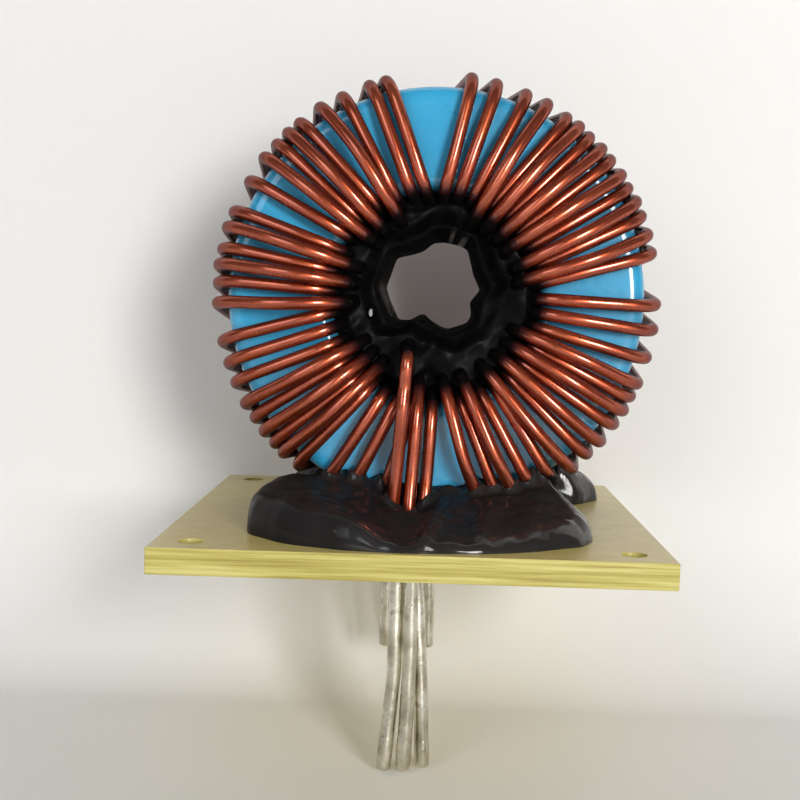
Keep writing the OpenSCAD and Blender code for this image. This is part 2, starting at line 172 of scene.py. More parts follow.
def strand_corners(s, rim, bore):
    """Corners of strand s from the front tip to the rear tip: places (n, 3) and bend radii (n)."""
    top = BORE_R - LAYER_STEP
    share = (RIM_R - CREST_R) / (RIM_R - top)
    way = [(under(FRONT_TIPS[s], -1, -FRONT_LEAD_LEN), 0), (under(FRONT_FAN[s], -1, -FRONT_SPREAD), 12),
           (under(FRONT_BUNDLE[s], -1, -LEAD_DROP), SOFT_LEAD_BEND),
           (under(FRONT_BUNDLE[s], -1, BOARD_T), SOFT_LEAD_BEND), (lead_rim(s, -1), SOFT_LEAD_BEND)]
    for k in range(TURNS):
        if k:
            front = rim[k - 1, s]
            rear = front - RIM_LEAN
            if LAYER[k - 1, s]:
                a = rear + (bore[k - 1, s] + BORE_LEAN - rear) * share
                way.append((on_ring(CREST_R, a, FACE_Y + LAYER_STEP), SOFT_CREST_BEND))
            way += [(on_ring(RIM_R, rear, FACE_Y), SOFT_RIM_BEND), (on_ring(RIM_R, front, -FACE_Y), SOFT_RIM_BEND)]
            if LAYER[k, s]:
                a = front + (bore[k, s] - front) * share
                way.append((on_ring(CREST_R, a, -FACE_Y - LAYER_STEP), SOFT_CREST_BEND))
        r = BORE_R - LAYER[k, s] * LAYER_STEP
        y = FACE_Y + LAYER[k, s] * LAYER_STEP
        way += [(on_ring(r, bore[k, s], -y), SOFT_BORE_BEND), (on_ring(r, bore[k, s] + BORE_LEAN, y), SOFT_BORE_BEND)]
    way += [(lead_rim(s, 1), SOFT_LEAD_BEND), (under(REAR_BUNDLE[s], 1, BOARD_T), SOFT_LEAD_BEND),
            (under(REAR_BUNDLE[s], 1, -LEAD_DROP), SOFT_LEAD_BEND),
            (under(REAR_FAN[s], 1, -REAR_SPREAD), SOFT_LEAD_BEND), (under(REAR_FAN[s], 1, -REAR_LEAD_LEN), 0)]
    return np.array([w[0] for w in way], float), np.array([w[1] for w in way], float)


def unit(v):
    """Vectors scaled to length 1."""
    return v / np.linalg.norm(v, axis=-1, keepdims=True)


def rounded(corners, bends, steps=9):
    """Path with every corner replaced by an arc: centre = corner - come x t + side x r, with t = r tan(turn / 2)
    and r made smaller where t would pass 0.48 of a neighbouring run."""
    a, p, b = corners[:-2], corners[1:-1], corners[2:]
    come, go = unit(p - a), unit(b - p)
    room = 0.48 * np.minimum(np.linalg.norm(p - a, axis=1), np.linalg.norm(b - p, axis=1))
    cosine = np.clip((come * go).sum(1), -1, 1)
    turn = np.maximum(np.arccos(cosine), 1e-4)
    r = np.minimum(bends[1:-1], room / np.tan(turn / 2))
    side = unit(go - come * cosine[:, None] + 1e-9)
    centre = p - come * (r * np.tan(turn / 2))[:, None] + side * r[:, None]
    w = (turn[:, None] * np.linspace(0, 1, steps))[..., None]
    arcs = centre[:, None] + r[:, None, None] * (come[:, None] * np.sin(w) - side[:, None] * np.cos(w))
    return np.vstack([corners[:1], arcs.reshape(-1, 3), corners[-1:]])


def evenly(path, step):
    """The path read off at equal distances along it, about step apart."""
    along = np.concatenate([[0], np.cumsum(np.linalg.norm(np.diff(path, axis=0), axis=1))])
    s = np.linspace(0, along[-1], int(round(along[-1] / step)) + 1)
    return np.stack([np.interp(s, along, path[:, i]) for i in range(3)], 1), s


def softened(path, width):
    """The path averaged along itself with bell-shaped weights, width stations wide, its ends kept."""
    k = np.arange(-3 * width, 3 * width + 1)
    weights = np.exp(-0.5 * (k / width) ** 2)
    weights /= weights.sum()
    grown = np.vstack([2 * path[0] - path[len(k) // 2:0:-1], path, 2 * path[-1] - path[-2:-len(k) // 2 - 1:-1]])
    return np.stack([np.convolve(grown[:, i], weights, "valid") for i in range(3)], 1)


def strand_path(s, rim, bore):
    """Centreline of strand s. Between the bore and the rim it bows out from the core by
    BOW x (u / p)^0.7 x ((1 - u) / (1 - p))^(0.7 (1 - p) / p), with u the share of the way to the rim and
    p the place of the peak, which in front lies further out at the lower right. The front leads stand out low down instead, by LEAD_BULGE. Everywhere the path
    strays a little, as a hand-wound wire does."""
    path, _ = evenly(rounded(*strand_corners(s, rim, bore)), STATION_STEP)
    path = softened(path, 1)
    x, y, z = path.T
    radius = np.hypot(x - RING_X, z - RING_Z)
    u = np.clip((radius - BORE_R) / (RIM_R - BORE_R), 0, 1)
    clock = np.arctan2(x - RING_X, z - RING_Z)
    turn = np.unwrap(clock)
    low = np.exp(-((clock % (2 * np.pi) - LOW_RIGHT) / LOW_SPREAD) ** 2) * smooth_step(2, -2, y)
    peak = BOW_PEAK + BOW_PEAK_LOW * low
    bow = (u / peak) ** 0.7 * ((1 - u) / (1 - peak)) ** (0.7 * (1 - peak) / peak)
    uneven = 1 + 0.22 * waves(40, [turn, np.sign(y) * 2], 5, 2, 9)
    wound = smooth_step(-0.5, 3, z - BOARD_T)
    path = path.copy()
    first = np.argmax(radius < BORE_R - LAYER[0, s] * LAYER_STEP + 0.5)
    lead = 1 - smooth_step(first - 30, first - 5, np.arange(len(path)))
    path[:, 1] += np.sign(y) * BOW * bow * uneven * wound * (1 - lead)
    lean = np.clip((LEAD_LEAN_TOP - z) / (LEAD_LEAN_TOP - LEAD_LEAN_LOW), 0, 1) ** 1.25
    path[:, 1] -= LEAD_BULGE * lean * smooth_step(BOARD_T, BOARD_T + 2.2, z) * lead
    stray = 0.045 * np.stack([waves(50 + 3 * s + i, [x, y, z], 6, 0.15, 0.5) for i in range(3)], 1)
    path += stray * wound[:, None]
    inward = 0.07 * smooth_step(RIM_R - 2.5, RIM_R - 0.5, radius) * wound
    path[:, 0] -= inward * (x - RING_X) / radius
    path[:, 2] -= inward * (z - RING_Z) / radius
    return evenly(softened(path, 1), STATION_STEP)


def tube_points(path, radius, sides):
    """Rings of points round a path: place + radius x (u cos w + v sin w), where u is the direction round
    the ring's axis made square to the path, and v is square to both. Radius may vary by station and side."""
    along = unit(np.gradient(path, axis=0))
    out = unit(np.stack([path[:, 2] - RING_Z, 0 * path[:, 0], RING_X - path[:, 0]], 1))
    u = unit(out - along * (along * out).sum(1, keepdims=True))
    v = np.cross(along, u)
    w = np.linspace(0, 2 * np.pi, sides, endpoint=False)[None, :, None]
    radius = np.broadcast_to(np.asarray(radius, float).reshape(len(path) if np.ndim(radius) else 1, -1),
                             (len(path), sides))[..., None]
    return path[:, None] + radius * (u[:, None] * np.cos(w) + v[:, None] * np.sin(w))


def skin(name, points, closed_rows=False, caps=True, flip=False):
    """Piece over a grid of points (rows, columns, 3) in millimetres. Neighbours make four-sided faces,
    the columns close round, the rows close round too if asked, and an open end closes on its own middle."""
    rows, cols = points.shape[:2]
    places = points.reshape(-1, 3)
    i, j = np.meshgrid(np.arange(rows if closed_rows else rows - 1), np.arange(cols), indexing="ij")
    a, b = i * cols + j, i * cols + (j + 1) % cols
    c, d = (i + 1) % rows * cols + (j + 1) % cols, (i + 1) % rows * cols + j
    quads = np.stack([a, b, c, d], -1).reshape(-1, 4)
    tris = np.zeros((0, 3), int)
    if caps and not closed_rows:
        ring = np.arange(cols)
        nxt = (ring + 1) % cols
        first, last = len(places), len(places) + 1
        places = np.vstack([places, points[0].mean(0), points[-1].mean(0)])
        top = (rows - 1) * cols
        tris = np.vstack([np.stack([nxt, ring, np.full(cols, first)], 1),
                          np.stack([top + ring, top + nxt, np.full(cols, last)], 1)])
    if flip:
        quads, tris = quads[:, ::-1], tris[:, ::-1]
    return piece_from(name, places, quads, tris)


def piece_from(name, places, quads, tris):
    """Object with a mesh of the given places in millimetres and its four- and three-sided faces."""
    mesh = bpy.data.meshes.new(name)
    mesh.vertices.add(len(places))
    mesh.vertices.foreach_set("co", (places * MM).astype(np.float32).ravel())
    loops = np.concatenate([quads.ravel(), tris.ravel()]).astype(np.int32)
    sizes = np.concatenate([np.full(len(quads), 4), np.full(len(tris), 3)])
    mesh.loops.add(len(loops))
    mesh.loops.foreach_set("vertex_index", loops)
    mesh.polygons.add(len(sizes))
    mesh.polygons.foreach_set("loop_start", (np.cumsum(sizes) - sizes).astype(np.int32))
    mesh.polygons.foreach_set("use_smooth", np.ones(len(sizes), bool))
    mesh.update(calc_edges=True)
    mesh.validate()
    piece = bpy.data.objects.new(name, mesh)
    bpy.context.scene.collection.objects.link(piece)
    return piece


def give(piece, name, values):
    """A named value for each vertex, for the piece's material to read."""
    found = piece.data.attributes.new(name, "FLOAT", "POINT")
    full = np.zeros(len(piece.data.vertices), np.float32)
    full[:len(values)] = values
    found.data.foreach_set("value", full)


def dress(piece, material, body="root", stands_for=()):
    """The piece gets its material, its body and the nodes that it stands for."""
    piece.data.materials.clear()
    piece.data.materials.append(material)
    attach(piece, body)
    if stands_for:
        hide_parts(*stands_for)
    return piece


# Camera, as the photograph was taken
CAMERA_PLACE = (1.11, -149.86, 27.91)
CAMERA_YAW, CAMERA_PITCH, CAMERA_ROLL = (math.radians(a) for a in (-1.24, -4.4, 1.55))
CAMERA_LENS = 55.65


def place_camera():
    """Camera at CAMERA_PLACE that looks along (sin yaw cos pitch, cos yaw cos pitch, sin pitch),
    rolled about that direction."""
    look = np.array([math.sin(CAMERA_YAW) * math.cos(CAMERA_PITCH),
                     math.cos(CAMERA_YAW) * math.cos(CAMERA_PITCH), math.sin(CAMERA_PITCH)])
    right = np.array([math.cos(CAMERA_YAW), -math.sin(CAMERA_YAW), 0])
    up = np.cross(right, look)
    c, s = math.cos(CAMERA_ROLL), math.sin(CAMERA_ROLL)
    across, upward = right * c + up * s, -right * s + up * c
    data = bpy.data.cameras.new("camera")
    data.lens, data.sensor_width = CAMERA_LENS, 36
    data.clip_start, data.clip_end = 0.005, 20
    camera = bpy.data.objects.new("camera", data)
    bpy.context.scene.collection.objects.link(camera)
    turn = Matrix([list(r) for r in np.stack([across, upward, -look], 1)])
    camera.matrix_world = Matrix.Translation([v * MM for v in CAMERA_PLACE]) @ turn.to_4x4()
    bpy.context.scene.camera = camera


# Materials are built from nodes through these helpers
def add(tree, kind, inputs=None, **settings):
    """A node with its settings, and inputs given as values or as sockets to join."""
    node = tree.nodes.new(kind)
    for key, value in settings.items():
        setattr(node, key, value)
    for key, value in (inputs or {}).items():
        if isinstance(value, bpy.types.NodeSocket):
            tree.links.new(value, node.inputs[key])
        else:
            node.inputs[key].default_value = value
    return node


def maths(tree, operation, a, b=None, c=None, clamp=False):
    """Result of a sum on sockets or numbers."""
    given = {i: v for i, v in enumerate((a, b, c)) if v is not None}
    return add(tree, "ShaderNodeMath", given, operation=operation, use_clamp=clamp).outputs[0]


def ramp(tree, factor, *stops):
    """Colours or greys along a factor, each stop being (place, colour)."""
    node = add(tree, "ShaderNodeValToRGB", {"Fac": factor})
    band = node.color_ramp
    while len(band.elements) < len(stops):
        band.elements.new(0.5)
    for element, (place, colour) in zip(band.elements, stops):
        element.position = place
        element.color = (colour,) * 3 + (1,) if isinstance(colour, (int, float)) else tuple(colour) + (1,)
    return node.outputs["Color"]


def blend_colours(tree, factor, a, b, kind="MIX"):
    """Colour a towards b by a factor."""
    node = add(tree, "ShaderNodeMix", data_type="RGBA", blend_type=kind)
    for key, value in ((0, factor), (6, a), (7, b)):
        if isinstance(value, bpy.types.NodeSocket):
            tree.links.new(value, node.inputs[key])
        else:
            node.inputs[key].default_value = value if key == 0 else tuple(value) + (1,) * (4 - len(value))
    return node.outputs[2]


def group(name, inputs, outputs):
    """Empty shader node group with named number or vector inputs and outputs."""
    tree = bpy.data.node_groups.new(name, "ShaderNodeTree")
    kinds = {"value": "NodeSocketFloat", "vector": "NodeSocketVector", "colour": "NodeSocketColor"}
    for label, kind in inputs:
        tree.interface.new_socket(label, in_out="INPUT", socket_type=kinds[kind])
    for label, kind in outputs:
        tree.interface.new_socket(label, in_out="OUTPUT", socket_type=kinds[kind])
    return tree, tree.nodes.new("NodeGroupInput").outputs, tree.nodes.new("NodeGroupOutput").inputs


def uneven_group():
    """Cloudy and fine unevenness from the same place: two noises, one seven times finer."""
    tree, given, out = group("unevenness", [("Place", "vector"), ("Scale", "value")],
                             [("Broad", "value"), ("Fine", "value")])
    broad = add(tree, "ShaderNodeTexNoise", {"Vector": given["Place"], "Scale": given["Scale"], "Detail": 3.0})
    finer = maths(tree, "MULTIPLY", given["Scale"], 7.0)
    fine = add(tree, "ShaderNodeTexNoise", {"Vector": given["Place"], "Scale": finer, "Detail": 4.0})
    tree.links.new(broad.outputs["Fac"], out["Broad"])
    tree.links.new(fine.outputs["Fac"], out["Fine"])
    return tree


def speck_group():
    """Small specks, as of dust: cells of which only the few that a coarser noise picks are kept."""
    tree, given, out = group("specks", [("Place", "vector"), ("Scale", "value"), ("Amount", "value")],
                             [("Mask", "value")])
    cells = add(tree, "ShaderNodeTexVoronoi", {"Vector": given["Place"], "Scale": given["Scale"]})
    picked = add(tree, "ShaderNodeTexWhiteNoise", {"Vector": cells.outputs["Position"]})
    small = maths(tree, "LESS_THAN", cells.outputs["Distance"], 0.22)
    kept = maths(tree, "LESS_THAN", picked.outputs["Value"], given["Amount"])
    tree.links.new(maths(tree, "MULTIPLY", small, kept), out["Mask"])
    return tree


UNEVEN, SPECKS = uneven_group(), speck_group()


def placed(tree, name="Object"):
    """Object coordinates in metres."""
    return add(tree, "ShaderNodeTexCoord").outputs[name]


def use(tree, shared, **inputs):
    """A shared effect, placed in this material with its own values."""
    node = tree.nodes.new("ShaderNodeGroup")
    node.node_tree = shared
    for key, value in inputs.items():
        if isinstance(value, bpy.types.NodeSocket):
            tree.links.new(value, node.inputs[key])
        else:
            node.inputs[key].default_value = value
    return node.outputs


def material(name, **principled):
    """New material with a Principled shader whose plain values are set on its own sockets."""
    made = bpy.data.materials.new(name)
    made.use_nodes = True
    tree = made.node_tree
    shader = tree.nodes["Principled BSDF"]
    for key, value in principled.items():
        shader.inputs[key.replace("_", " ")].default_value = value
    return made, tree, shader


def bump(tree, shader, height, strength, distance):
    """Relief of a height on the shader's normal, distance in metres."""
    node = add(tree, "ShaderNodeBump", {"Height": height, "Strength": strength, "Distance": distance})
    tree.links.new(node.outputs["Normal"], shader.inputs["Normal"])


def enamel_material():
    """Enamelled copper: warm metal under a clear coat, with faint drawn streaks along the wire and deeper tint
    where the enamel is thicker. Where the wire goes into the bore or the potting it turns maroon, then black;
    in the potting that is the resin over it, and at the bore's mouth it is partly that resin and partly painted
    shade. Towards the rim its colour is darkened as painted shade."""
    made, tree, shader = material("enamelled_copper", Coat_Roughness=0.11, Coat_IOR=1.6,
                                  Specular_Tint=(0.25, 0.14, 0.12, 1), Specular_IOR_Level=0.2)
    place = placed(tree)
    uneven = use(tree, UNEVEN, Place=place, Scale=230.0)
    streaks = add(tree, "ShaderNodeTexNoise", {
        "Vector": add(tree, "ShaderNodeMapping", {"Vector": placed(tree, "UV"), "Scale": (0.25, 2.5, 1.0)}).outputs[0],
        "Scale": 1.0, "Detail": 2.0}).outputs["Fac"]
    tint = ramp(tree, uneven["Broad"], (0.3, (0.37, 0.060, 0.022)), (0.5, (0.44, 0.078, 0.027)),
                (0.72, (0.52, 0.105, 0.036)))
    tint = blend_colours(tree, maths(tree, "MULTIPLY", streaks, 0.3), tint, (0.22, 0.030, 0.016))
    # Towards the rim the tint goes dark brown: painted shade on the ends that turn away from the light. The rougher,
    # less coated enamel there belongs to the material itself.
    outer = add(tree, "ShaderNodeAttribute", attribute_name="outer").outputs["Fac"]
    tint = blend_colours(tree, maths(tree, "MULTIPLY", outer, 0.65), tint, (0.13, 0.044, 0.034))
    film = add(tree, "ShaderNodeAttribute", attribute_name="film").outputs["Fac"]
    wander = maths(tree, "MULTIPLY", maths(tree, "SUBTRACT", uneven["Fine"], 0.5), 0.5)
    open_part = maths(tree, "MULTIPLY", film, maths(tree, "SUBTRACT", 1.0, film))
    film = maths(tree, "MULTIPLY_ADD", maths(tree, "MULTIPLY", wander, open_part), 4.0, film, clamp=True)
    # At the bore's mouth the maroon step and the fade to black are partly the resin's film and partly painted shade.
    # Where the strand dips into the mounds, the fade is the resin.
    tint = blend_colours(tree, ramp(tree, film, (0.02, 0.0), (0.5, 1.0)), tint, (0.085, 0.014, 0.013))
    tint = blend_colours(tree, ramp(tree, film, (0.35, 0.0), (0.75, 1.0)), tint, (0.0030, 0.0026, 0.0027))
    tree.links.new(tint, shader.inputs["Base Color"])
    tree.links.new(ramp(tree, film, (0.35, 0.88), (0.75, 0.0)), shader.inputs["Metallic"])
    clear = ramp(tree, film, (0.3, 0.85), (0.7, 0.03))
    clear = maths(tree, "MULTIPLY", clear, maths(tree, "MULTIPLY_ADD", outer, -0.6, 1.0))
    tree.links.new(clear, shader.inputs["Coat Weight"])
    rough = add(tree, "ShaderNodeMapRange", {"Value": uneven["Fine"], "From Min": 0.3, "From Max": 0.7,
                                             "To Min": 0.26, "To Max": 0.33}).outputs[0]
    rough = maths(tree, "MULTIPLY_ADD", outer, 0.14, rough)
    rough = maths(tree, "MULTIPLY_ADD", ramp(tree, film, (0.3, 0.0), (0.75, 1.0)), 0.28, rough)
    tree.links.new(rough, shader.inputs["Roughness"])
    relief = maths(tree, "ADD", uneven["Broad"], maths(tree, "MULTIPLY", streaks, 0.2))
    bump(tree, shader, relief, 0.10, 0.00005)
    return made


def tinned_material():
    """Tinned copper: bright grey metal with a warm cast, frozen in lumps, with duller flux-stained patches."""
    made, tree, shader = material("tinned_copper", Metallic=1.0)
    place = placed(tree)
    uneven = use(tree, UNEVEN, Place=place, Scale=420.0)
    broad = use(tree, UNEVEN, Place=place, Scale=120.0)
    colour = ramp(tree, uneven["Broad"], (0.32, (0.42, 0.38, 0.29)), (0.5, (0.62, 0.585, 0.47)), (0.68, (0.83, 0.80, 0.70)))
    colour = blend_colours(tree, ramp(tree, broad["Fine"], (0.56, 0.0), (0.70, 0.6)), colour, (0.30, 0.25, 0.17))
    tree.links.new(colour, shader.inputs["Base Color"])
    tree.links.new(add(tree, "ShaderNodeMapRange", {"Value": broad["Broad"], "From Min": 0.3, "From Max": 0.7,
                                                    "To Min": 0.22, "To Max": 0.42}).outputs[0],
                   shader.inputs["Roughness"])
    bump(tree, shader, maths(tree, "ADD", uneven["Broad"], maths(tree, "MULTIPLY", uneven["Fine"], 0.25)), 0.5, 0.00018)
    return made


def coating_material():
    """Sky-blue epoxy powder coat: glossy, with a faint orange-peel skin, a few dark specks and painted shade near the
    strands.
    """
    made, tree, shader = material("core_coating", Coat_Weight=0.8, Coat_Roughness=0.06, Specular_IOR_Level=0.25)
    place = placed(tree)
    uneven = use(tree, UNEVEN, Place=place, Scale=90.0)
    peel = add(tree, "ShaderNodeTexNoise", {"Vector": place, "Scale": 900.0, "Detail": 2.0}).outputs["Fac"]
    colour = ramp(tree, uneven["Broad"], (0.3, (0.030, 0.345, 0.620)), (0.7, (0.042, 0.400, 0.690)))
    specks = use(tree, SPECKS, Place=place, Scale=700.0, Amount=0.035)["Mask"]
    colour = blend_colours(tree, maths(tree, "MULTIPLY", specks, 0.45), colour, (0.02, 0.16, 0.30))
    # Near the strands the blue is darkened towards (0.020, 0.085, 0.135): painted shade between the strands.
    beside = add(tree, "ShaderNodeAttribute", attribute_name="beside").outputs["Fac"]
    colour = blend_colours(tree, maths(tree, "MULTIPLY", beside, 0.6), colour, (0.020, 0.085, 0.135))
    tree.links.new(colour, shader.inputs["Base Color"])
    tree.links.new(add(tree, "ShaderNodeMapRange", {"Value": uneven["Fine"], "From Min": 0.3, "From Max": 0.7,
                                                    "To Min": 0.26, "To Max": 0.38}).outputs[0],
                   shader.inputs["Roughness"])
    bump(tree, shader, peel, 0.25, 0.00012)
    return made


def resin_material(name, dull, gloss, level, coat, black):
    """Black potting resin: slow ripples, hazier patches and a few dust specks, its roughness running from gloss
    to dull and quite dull inside the throat, with a clear wet skin at the lips, the wires and a few drops."""
    made, tree, shader = material(name, Coat_Roughness=0.09, IOR=1.5, Specular_IOR_Level=level)
    place = placed(tree)
    uneven = use(tree, UNEVEN, Place=place, Scale=110.0)
    ripples = use(tree, UNEVEN, Place=place, Scale=330.0)
    specks = use(tree, SPECKS, Place=place, Scale=520.0, Amount=0.05)["Mask"]
    deep, pale = [black * c for c in (0.70, 0.60, 0.64)], [black * c for c in (1.25, 1.15, 1.05)]
    colour = ramp(tree, uneven["Broad"], (0.3, deep), (0.7, pale))
    colour = blend_colours(tree, maths(tree, "MULTIPLY", specks, 12 * black), colour, (0.16, 0.15, 0.13))
    tree.links.new(colour, shader.inputs["Base Color"])
    rough = add(tree, "ShaderNodeMapRange", {"Value": uneven["Fine"], "From Min": 0.35, "From Max": 0.68,
                                             "To Min": gloss, "To Max": dull}).outputs[0]
    patches = ramp(tree, ripples["Broad"], (0.42, 0.25), (0.58, 1.0))
    wet = add(tree, "ShaderNodeAttribute", attribute_name="wet").outputs["Fac"]
    tree.links.new(maths(tree, "MULTIPLY_ADD", wet, patches, coat), shader.inputs["Coat Weight"])
    inner = add(tree, "ShaderNodeAttribute", attribute_name="throat").outputs["Fac"]
    rough = maths(tree, "MULTIPLY_ADD", inner, 0.4, rough, clamp=True)
    tree.links.new(rough, shader.inputs["Roughness"])
    relief = maths(tree, "ADD", uneven["Broad"], maths(tree, "MULTIPLY", ripples["Broad"], 0.35))
    bump(tree, shader, relief, 0.35, 0.0006)
    return made


def board_material():
    """Glass-epoxy laminate: straw-coloured, with a faint woven cloth under the glossy faces, and sawn
    edges that show the cloth's layers as fine light and dark lines."""
    made, tree, shader = material("glass_epoxy", Coat_Weight=0.25, Coat_Roughness=0.2)
    place = placed(tree)
    axes = add(tree, "ShaderNodeSeparateXYZ", {"Vector": place}).outputs
    facing = add(tree, "ShaderNodeSeparateXYZ", {"Vector": add(tree, "ShaderNodeNewGeometry").outputs["Normal"]}).outputs
    face = maths(tree, "GREATER_THAN", maths(tree, "ABSOLUTE", facing["Z"]), 0.7)
    uneven = use(tree, UNEVEN, Place=place, Scale=60.0)
    bent = maths(tree, "MULTIPLY", maths(tree, "SUBTRACT", uneven["Broad"], 0.5), 0.0004)
    thread = 2 * math.pi / 0.00046
    warp = maths(tree, "SINE", maths(tree, "MULTIPLY", maths(tree, "ADD", axes["X"], bent), thread))
    weft = maths(tree, "SINE", maths(tree, "MULTIPLY", maths(tree, "ADD", axes["Y"], bent), thread))
    cloth = maths(tree, "MULTIPLY_ADD", maths(tree, "MULTIPLY", warp, weft), 0.5, 0.5)
    layers = add(tree, "ShaderNodeTexNoise", {
        "Vector": add(tree, "ShaderNodeMapping", {"Vector": place, "Scale": (60.0, 60.0, 2600.0)}).outputs[0],
        "Scale": 1.0, "Detail": 3.0, "Roughness": 0.6}).outputs["Fac"]
    top = ramp(tree, uneven["Fine"], (0.3, (0.66, 0.52, 0.15)), (0.7, (0.74, 0.61, 0.22)))
    top = blend_colours(tree, maths(tree, "MULTIPLY", cloth, 0.14), top, (0.80, 0.70, 0.34))
    sawn = ramp(tree, layers, (0.32, (0.34, 0.27, 0.05)), (0.5, (0.50, 0.43, 0.10)), (0.66, (0.65, 0.58, 0.20)))
    tree.links.new(blend_colours(tree, face, sawn, top), shader.inputs["Base Color"])
    rough = maths(tree, "MULTIPLY_ADD", face, -0.24, 0.56)
    tree.links.new(rough, shader.inputs["Roughness"])
    relief = add(tree, "ShaderNodeMix", {0: face, 2: layers, 3: maths(tree, "MULTIPLY", cloth, 0.12)}).outputs[0]
    bump(tree, shader, relief, 0.4, 0.00012)
    return made


def pale_material(name, colour, lit):
    """Pale paper for the floor and backdrop: matt, with its own white for camera, mirror and glass rays,
    little of it near the part and most of it far away, where the lamps no longer reach. Seen from behind
    it is clear, so that the part can be looked at from every side."""
    made = bpy.data.materials.new(name)
    made.use_nodes = True
    tree = made.node_tree
    tree.nodes.clear()
    paths = add(tree, "ShaderNodeLightPath").outputs
    seen = maths(tree, "MAXIMUM", paths["Is Camera Ray"], maths(tree, "MAXIMUM", paths["Is Glossy Ray"],
                                                               paths["Is Transmission Ray"]))
    paper = add(tree, "ShaderNodeBsdfDiffuse", {"Color": tuple(colour) + (1,)}).outputs[0]
    far = add(tree, "ShaderNodeVectorMath", {0: placed(tree)}, operation="LENGTH").outputs["Value"]
    far = add(tree, "ShaderNodeMapRange", {"Value": far, "From Min": 0.13, "From Max": 0.5, "To Min": lit,
                                           "To Max": 0.86}, interpolation_type="SMOOTHSTEP").outputs[0]
    own = maths(tree, "MULTIPLY", seen, far)
    glow = add(tree, "ShaderNodeEmission", {"Color": tuple(colour) + (1,), "Strength": own}).outputs[0]
    both = add(tree, "ShaderNodeAddShader", {0: paper, 1: glow}).outputs[0]
    behind = add(tree, "ShaderNodeNewGeometry").outputs["Backfacing"]
    clear = add(tree, "ShaderNodeBsdfTransparent").outputs[0]
    add(tree, "ShaderNodeOutputMaterial", {
        "Surface": add(tree, "ShaderNodeMixShader", {0: behind, 1: both, 2: clear}).outputs[0]})
    return made


place_camera()

ENAMEL, TINNED, COATING = enamel_material(), tinned_material(), coating_material()
RESIN = resin_material("potting_resin", dull=0.72, gloss=0.47, level=0.10, coat=0.05, black=0.0155)
# The bore's resin is the same potting resin as the mounds, with a much darker base colour (black 0.0022 against
# 0.0155): painted shade inside the bore.
BORE_RESIN = resin_material("bore_resin", dull=0.6, gloss=0.36, level=0.07, coat=0.0, black=0.0022)
BOARD = board_material()


# The left front lead stays bare of resin until it is this near to the ring's axis
OPEN_LEAD_R = 6.9


def resin_film_and_shade(wire, points, s):
    """How much resin covers each point of a strand: 1 where the strand has turned into the bore, from 2.5 to 0.2
    outside the radius of its own pass, and 1 where the strand dips into the mounds. The fade at the bore's mouth
    stands partly for the resin's film and partly for painted shade there."""
    radius = np.hypot(wire[:, 0] - RING_X, wire[:, 2] - RING_Z)
    station = np.arange(len(wire))
    straight = (radius < CORE_BORE_D / 2) & (np.abs(wire[:, 1]) < FACE_Y - 3)
    runs = np.flatnonzero(np.diff(straight.astype(int)) != 0).reshape(-1, 2)
    nearest_run = np.abs(station[:, None] - runs.mean(1)[None]).argmin(1)
    own = np.array([radius[a + 1:b + 1].mean() for a, b in runs])[nearest_run]
    beyond = radius - own + 0.2 * waves(70 + s, list(wire.T), 5, 0.5, 1.6)
    bore = smooth_step(2.5, 0.2, beyond)
    if s == 2:
        open_lead = station < np.argmax(radius < OPEN_LEAD_R)
        bore = np.where(open_lead, smooth_step(OPEN_LEAD_R + 0.7, OPEN_LEAD_R - 0.3, radius), bore)
    x, y, z = points.reshape(-1, 3).T
    level = np.where(y < 0, front_height(x, y), rear_height(x, y))
    dip = smooth_step(0.75, 0.1, z - BOARD_T - level)
    return np.maximum(np.repeat(bore, WIRE_SIDES), dip)


def make_strands():
    """Three strands, each a round tube along its own path from just under the board in front, twenty times
    through the core, to just under the board behind, and the tinned ends as tubes of their own."""
    rim, bore = winding_angles()
    paths = []
    for s, letter in enumerate("abc"):
        path, along = strand_path(s, rim, bore)
        paths.append(path)
        kept = path[:, 2] > -0.9
        wire, length = path[kept], along[kept]
        points = tube_points(wire, WIRE_R, WIRE_SIDES)
        piece = skin(f"strand_{letter}_enamelled", points)
        give(piece, "film", resin_film_and_shade(wire, points, s))
        # Share of the way into the rim's bend, where the enamel's colour carries painted shade.
        from_axis = np.repeat(np.hypot(wire[:, 0] - RING_X, wire[:, 2] - RING_Z), WIRE_SIDES)
        give(piece, "outer", smooth_step(RIM_R - 2.6, RIM_R - 0.2, from_axis))
        uv_along(piece, length, WIRE_SIDES)
        dress(piece, ENAMEL, stands_for=[f"strand_{letter}"])
        for end, chosen in (("front", slice(None, 400)), ("rear", slice(-400, None))):
            part = path[chosen]
            part = part[part[:, 2] < -0.45]
            if end == "rear":
                part = part[::-1]
            make_tinned(f"strand_{letter}_tinned_{end}", part, 10 * s + (end == "rear"))
    return paths


def uv_along(piece, length, sides):
    """Map of a tube: millimetres along it, and the way round it, from 1 down to 0 on the far side and back."""
    rows = len(length)
    u = np.repeat(length, sides)
    v = np.tile(np.abs(2 * np.arange(sides) / sides - 1), rows)
    loops = np.zeros(len(piece.data.loops), np.int32)
    piece.data.loops.foreach_get("vertex_index", loops)
    u, v = np.append(u, [length[0], length[-1]]), np.append(v, [0.5, 0.5])
    layer = piece.data.uv_layers.new(name="wire")
    layer.data.foreach_set("uv", np.stack([u[loops], v[loops]], 1).astype(np.float32).ravel())


